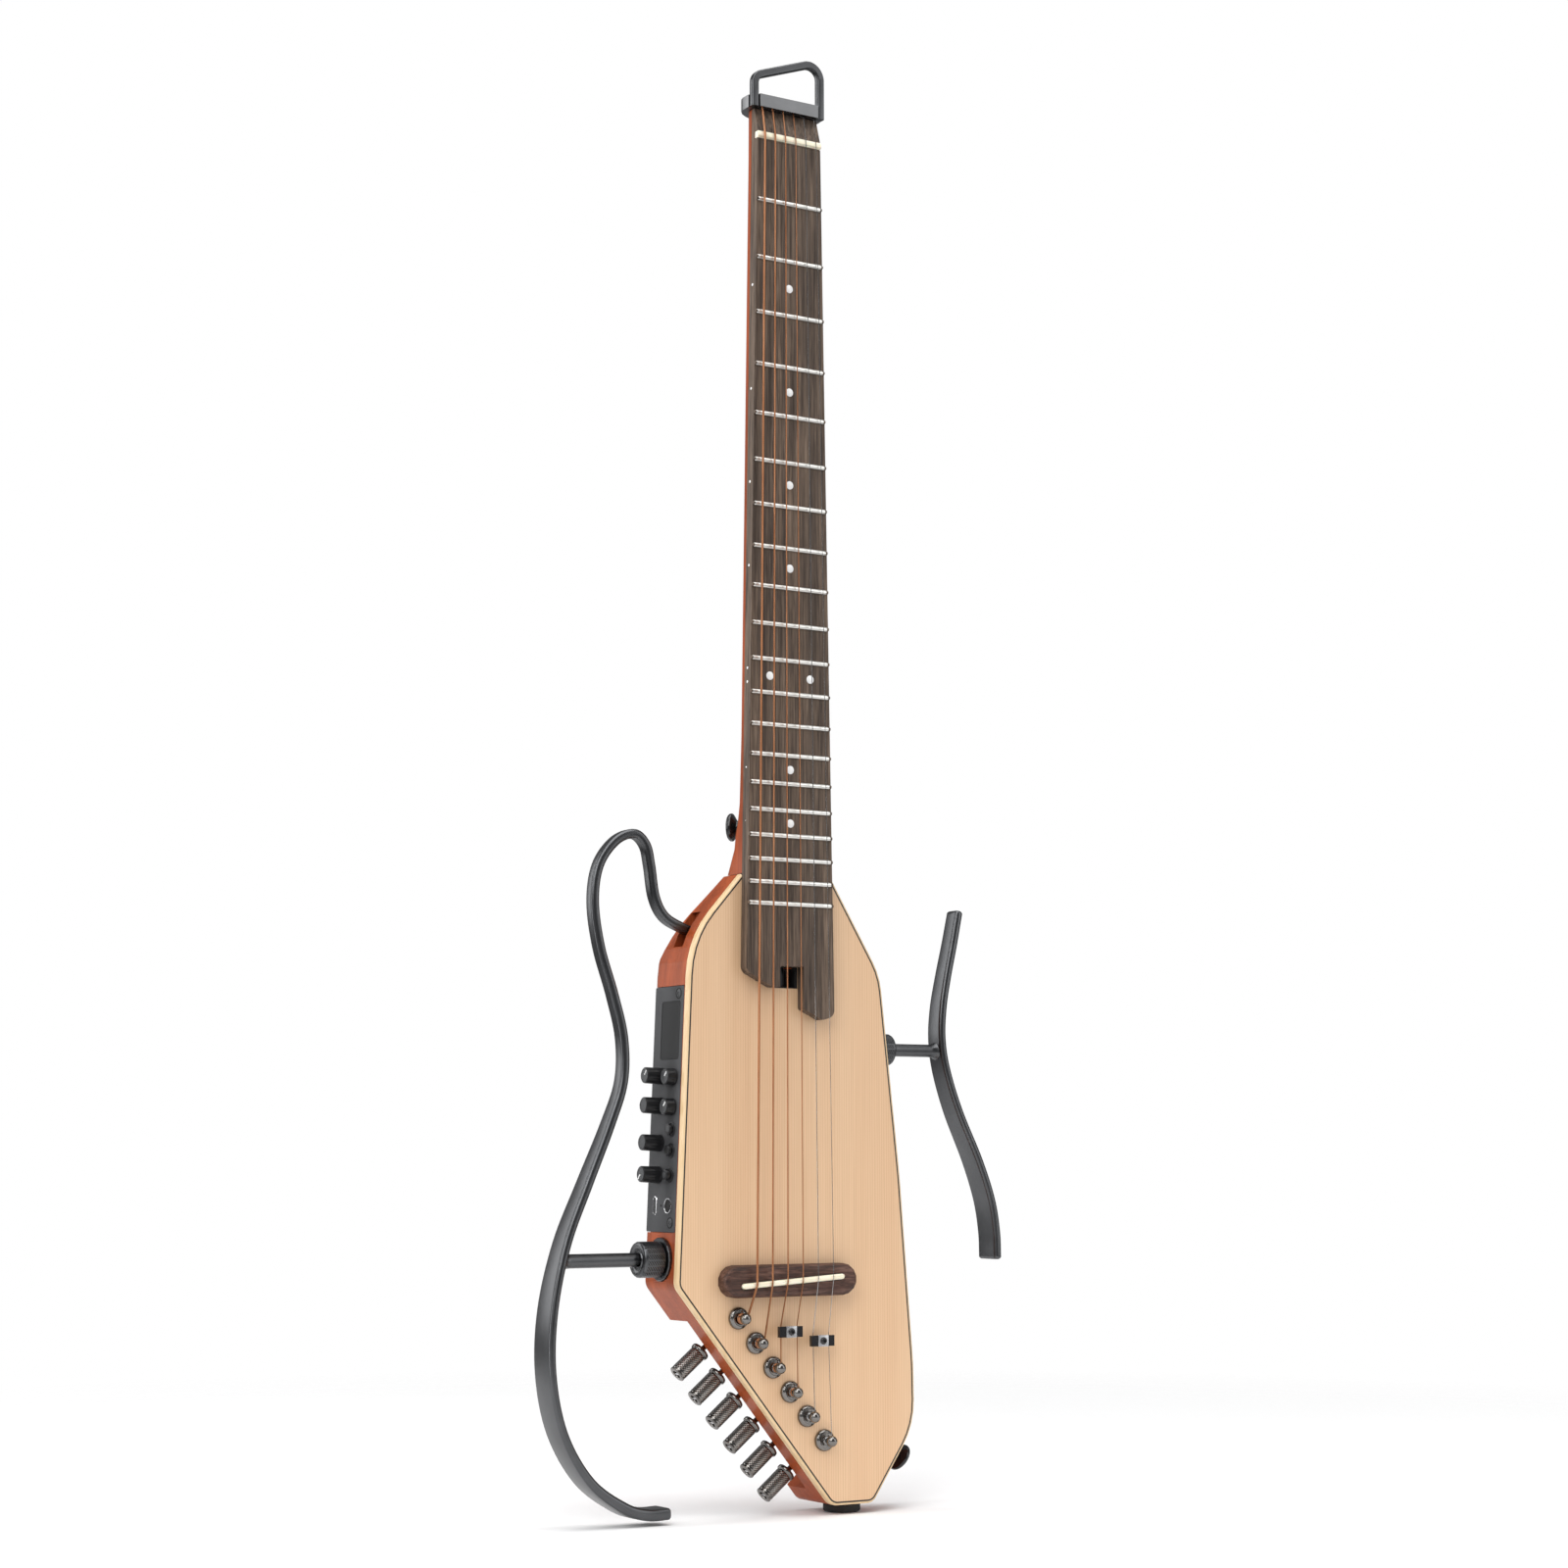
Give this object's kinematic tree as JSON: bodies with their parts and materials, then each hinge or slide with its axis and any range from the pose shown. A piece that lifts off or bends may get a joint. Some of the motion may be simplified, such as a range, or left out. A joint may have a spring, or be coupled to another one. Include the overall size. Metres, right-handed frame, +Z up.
{
  "type": "headless travel guitar",
  "caption": "Slim headless guitar with a faceted spruce-topped body, worm tuners along its slanted lower edge, side controls and two detachable metal outline frames.",
  "frame": {"origin": "on the flat back of the body, on the strings' centre plane and level with the end of the string scale", "axes": "+Z up the neck, +Y out of the back so that the strings face -Y, +X to the right seen from the front"},
  "size_m": [0.3002, 0.0507, 0.8407],
  "materials": {
    "mahogany": "gloss",
    "panel": "matte",
    "fretboard_wood": "satin",
    "bone": "polished",
    "gunmetal": "satin",
    "spruce": "satin",
    "maple": "satin",
    "rosewood": "satin",
    "gloss_black": "gloss",
    "grey_clamp": "satin",
    "bronze": "wound",
    "steel": "bright",
    "black_nickel": "black nickel plate",
    "display_glass": "gloss",
    "board": "solder mask",
    "battery_sleeve": "sleeve",
    "knob_black": "satin",
    "rubber": "matte"
  },
  "bodies": {
    "instrument": {"body": "mahogany", "neck": "mahogany", "back_cover": "panel", "control_panel": "panel", "fretboard": "fretboard_wood", "nut": "bone", "saddle": "bone", "truss_rod": "gunmetal", "head_loop": "gunmetal", "left_socket": "gunmetal", "right_socket": "gunmetal", "soundboard": "spruce", "binding": "maple", "bridge": "rosewood", "string_retainer_1": "gloss_black", "string_retainer_2": "gloss_black", "strap_button_upper": "gloss_black", "strap_button_lower": "gloss_black", "head_clamp": "grey_clamp", "string_1": "bronze", "string_2": "bronze", "string_3": "bronze", "string_4": "bronze", "string_5": "steel", "string_6": "steel", "tuner_housing_1": "black_nickel", "tuner_housing_2": "black_nickel", "tuner_housing_3": "black_nickel", "tuner_housing_4": "black_nickel", "tuner_housing_5": "black_nickel", "tuner_housing_6": "black_nickel", "display_window": "display_glass", "circuit_board": "board", "battery": "battery_sleeve", "tail_foot": "rubber"},
    "tuner_post_1": {"tuner_post_1": "black_nickel"},
    "tuner_post_2": {"tuner_post_2": "black_nickel"},
    "tuner_post_3": {"tuner_post_3": "black_nickel"},
    "tuner_post_4": {"tuner_post_4": "black_nickel"},
    "tuner_post_5": {"tuner_post_5": "black_nickel"},
    "tuner_post_6": {"tuner_post_6": "black_nickel"},
    "tuner_knob_1": {"tuner_knob_1": "black_nickel"},
    "tuner_knob_2": {"tuner_knob_2": "black_nickel"},
    "tuner_knob_3": {"tuner_knob_3": "black_nickel"},
    "tuner_knob_4": {"tuner_knob_4": "black_nickel"},
    "tuner_knob_5": {"tuner_knob_5": "black_nickel"},
    "tuner_knob_6": {"tuner_knob_6": "black_nickel"},
    "control_knob_1": {"control_knob_1": "knob_black"},
    "control_knob_2": {"control_knob_2": "knob_black"},
    "control_knob_3": {"control_knob_3": "knob_black"},
    "control_knob_4": {"control_knob_4": "knob_black"},
    "control_knob_5": {"control_knob_5": "knob_black"},
    "control_knob_6": {"control_knob_6": "knob_black"},
    "control_button_1": {"control_button_1": "knob_black"},
    "control_button_2": {"control_button_2": "knob_black"},
    "control_button_3": {"control_button_3": "knob_black"},
    "left_frame": {"left_frame": "gunmetal"},
    "left_collar_nut": {"left_collar_nut": "gunmetal"},
    "right_rest": {"right_rest": "gunmetal"},
    "right_collar_nut": {"right_collar_nut": "gunmetal"}
  },
  "joints": [
    {"name": "tuner_1_turn", "type": "hinge", "parent": "instrument", "child": "tuner_knob_1", "pos_m": [-0.02586, -0.016, -0.03243], "axis": [-0.7773, 0, -0.6291], "continuous": true},
    {"name": "post_1_spin", "type": "hinge", "parent": "instrument", "child": "tuner_post_1", "pos_m": [-0.03058, -0.016, -0.0266], "axis": [0, 1, 0], "continuous": true},
    {"name": "tuner_2_turn", "type": "hinge", "parent": "instrument", "child": "tuner_knob_2", "pos_m": [-0.01464, -0.016, -0.04629], "axis": [-0.7773, 0, -0.6291], "continuous": true},
    {"name": "post_2_spin", "type": "hinge", "parent": "instrument", "child": "tuner_post_2", "pos_m": [-0.01936, -0.016, -0.04046], "axis": [0, 1, 0], "continuous": true},
    {"name": "tuner_3_turn", "type": "hinge", "parent": "instrument", "child": "tuner_knob_3", "pos_m": [-0.00342, -0.016, -0.06015], "axis": [-0.7773, 0, -0.6291], "continuous": true},
    {"name": "post_3_spin", "type": "hinge", "parent": "instrument", "child": "tuner_post_3", "pos_m": [-0.00814, -0.016, -0.05432], "axis": [0, 1, 0], "continuous": true},
    {"name": "tuner_4_turn", "type": "hinge", "parent": "instrument", "child": "tuner_knob_4", "pos_m": [0.00779, -0.016, -0.07401], "axis": [-0.7773, 0, -0.6291], "continuous": true},
    {"name": "post_4_spin", "type": "hinge", "parent": "instrument", "child": "tuner_post_4", "pos_m": [0.00308, -0.016, -0.06818], "axis": [0, 1, 0], "continuous": true},
    {"name": "tuner_5_turn", "type": "hinge", "parent": "instrument", "child": "tuner_knob_5", "pos_m": [0.01901, -0.016, -0.08787], "axis": [-0.7773, 0, -0.6291], "continuous": true},
    {"name": "post_5_spin", "type": "hinge", "parent": "instrument", "child": "tuner_post_5", "pos_m": [0.01429, -0.016, -0.08204], "axis": [0, 1, 0], "continuous": true},
    {"name": "tuner_6_turn", "type": "hinge", "parent": "instrument", "child": "tuner_knob_6", "pos_m": [0.03023, -0.016, -0.10173], "axis": [-0.7773, 0, -0.6291], "continuous": true},
    {"name": "post_6_spin", "type": "hinge", "parent": "instrument", "child": "tuner_post_6", "pos_m": [0.02551, -0.016, -0.0959], "axis": [0, 1, 0], "continuous": true},
    {"name": "control_1_turn", "type": "hinge", "parent": "instrument", "child": "control_knob_1", "pos_m": [-0.06436, -0.0125, 0.1074], "axis": [-0.9991, 0, 0.0425], "range_deg": [-150, 150]},
    {"name": "control_2_turn", "type": "hinge", "parent": "instrument", "child": "control_knob_2", "pos_m": [-0.06506, -0.0125, 0.0908], "axis": [-0.9991, 0, 0.0425], "range_deg": [-150, 150]},
    {"name": "control_3_turn", "type": "hinge", "parent": "instrument", "child": "control_knob_3", "pos_m": [-0.06594, -0.0125, 0.0701], "axis": [-0.9991, 0, 0.0425], "range_deg": [-150, 150]},
    {"name": "control_4_turn", "type": "hinge", "parent": "instrument", "child": "control_knob_4", "pos_m": [-0.06669, -0.0125, 0.0525], "axis": [-0.9991, 0, 0.0425], "range_deg": [-150, 150]},
    {"name": "control_5_turn", "type": "hinge", "parent": "instrument", "child": "control_knob_5", "pos_m": [-0.06438, -0.025, 0.1068], "axis": [-0.9991, 0, 0.0425], "range_deg": [-150, 150]},
    {"name": "control_6_turn", "type": "hinge", "parent": "instrument", "child": "control_knob_6", "pos_m": [-0.06509, -0.025, 0.0901], "axis": [-0.9991, 0, 0.0425], "range_deg": [-150, 150]},
    {"name": "button_1_press", "type": "slide", "parent": "instrument", "child": "control_button_1", "axis": [0.9991, 0, -0.0425], "range_m": [0, 0.001], "stiffness_N_per_m": 300},
    {"name": "button_2_press", "type": "slide", "parent": "instrument", "child": "control_button_2", "axis": [0.9991, 0, -0.0425], "range_m": [0, 0.001], "stiffness_N_per_m": 300},
    {"name": "button_3_press", "type": "slide", "parent": "instrument", "child": "control_button_3", "axis": [0.9991, 0, -0.0425], "range_m": [0, 0.001], "stiffness_N_per_m": 300},
    {"name": "left_frame_off", "type": "slide", "parent": "instrument", "child": "left_frame", "axis": [-1, 0, 0], "range_m": [0, 0.04]},
    {"name": "left_collar_turn", "type": "hinge", "parent": "left_frame", "child": "left_collar_nut", "pos_m": [-0.0775, -0.019, 0.006], "axis": [-1, 0, 0], "continuous": true},
    {"name": "right_rest_off", "type": "slide", "parent": "instrument", "child": "right_rest", "axis": [1, 0, 0], "range_m": [0, 0.04]},
    {"name": "right_collar_turn", "type": "hinge", "parent": "right_rest", "child": "right_collar_nut", "pos_m": [0.0775, -0.019, 0.1245], "axis": [1, 0, 0], "continuous": true}
  ],
  "couplings": [
    {"joint": "post_1_spin", "follows": "tuner_1_turn", "ratio": -0.066667},
    {"joint": "post_2_spin", "follows": "tuner_2_turn", "ratio": -0.066667},
    {"joint": "post_3_spin", "follows": "tuner_3_turn", "ratio": -0.066667},
    {"joint": "post_4_spin", "follows": "tuner_4_turn", "ratio": -0.066667},
    {"joint": "post_5_spin", "follows": "tuner_5_turn", "ratio": -0.066667},
    {"joint": "post_6_spin", "follows": "tuner_6_turn", "ratio": -0.066667}
  ]
}
